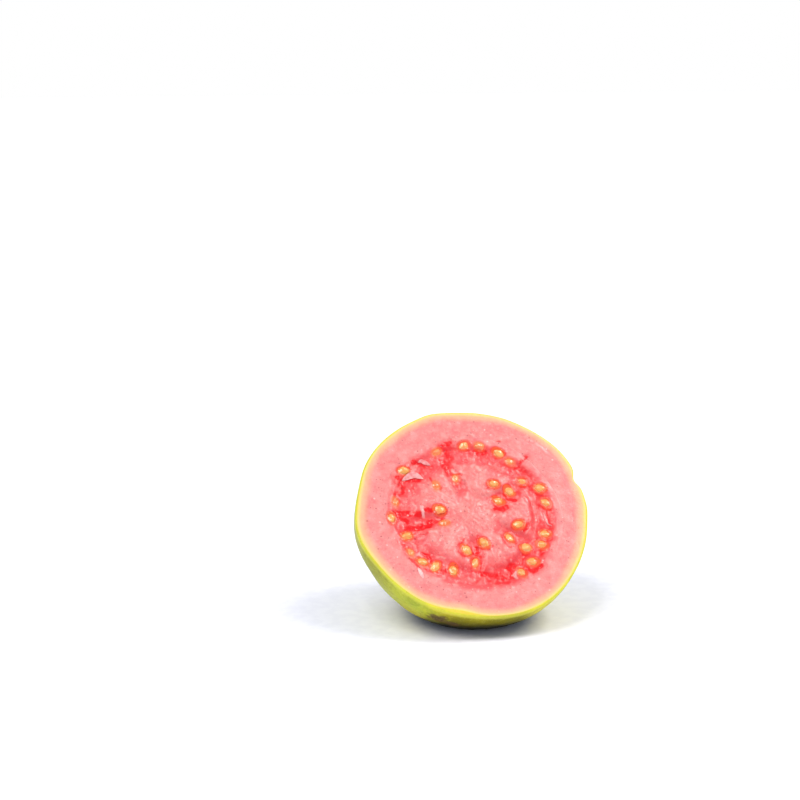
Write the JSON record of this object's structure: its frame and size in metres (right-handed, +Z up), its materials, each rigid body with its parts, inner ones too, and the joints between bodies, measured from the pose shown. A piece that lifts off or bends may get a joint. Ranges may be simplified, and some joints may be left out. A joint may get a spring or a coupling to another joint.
{
  "type": "half guava",
  "caption": "Half of a small round guava, cut across, lying on a soft flat spot with its seedy pink cut face turned up and forward.",
  "frame": {"origin": "centre of the flat resting spot on the skin, straight below the middle of the cut face", "axes": "+Z up; -Y is the side that the cut face is turned to, with its normal 44 degrees above level; +X to the right seen from the front"},
  "size_m": [0.0611, 0.0509, 0.0494],
  "materials": {
    "skin_and_flesh": "yellow-green guava skin with a waxy sheen and olive patches; the cut rim is yellow, then cream, then pale pink firm flesh",
    "pulp_with_seeds": "wet deep-pink to red guava pulp with paler lobes; the seeds are pale straw to amber",
    "dried_calyx": "dry, dark brown, rough and papery"
  },
  "bodies": {
    "root": {"skin_and_flesh": "skin_and_flesh", "pulp_with_seeds": "pulp_with_seeds", "dried_calyx": "dried_calyx"}
  },
  "joints": []
}
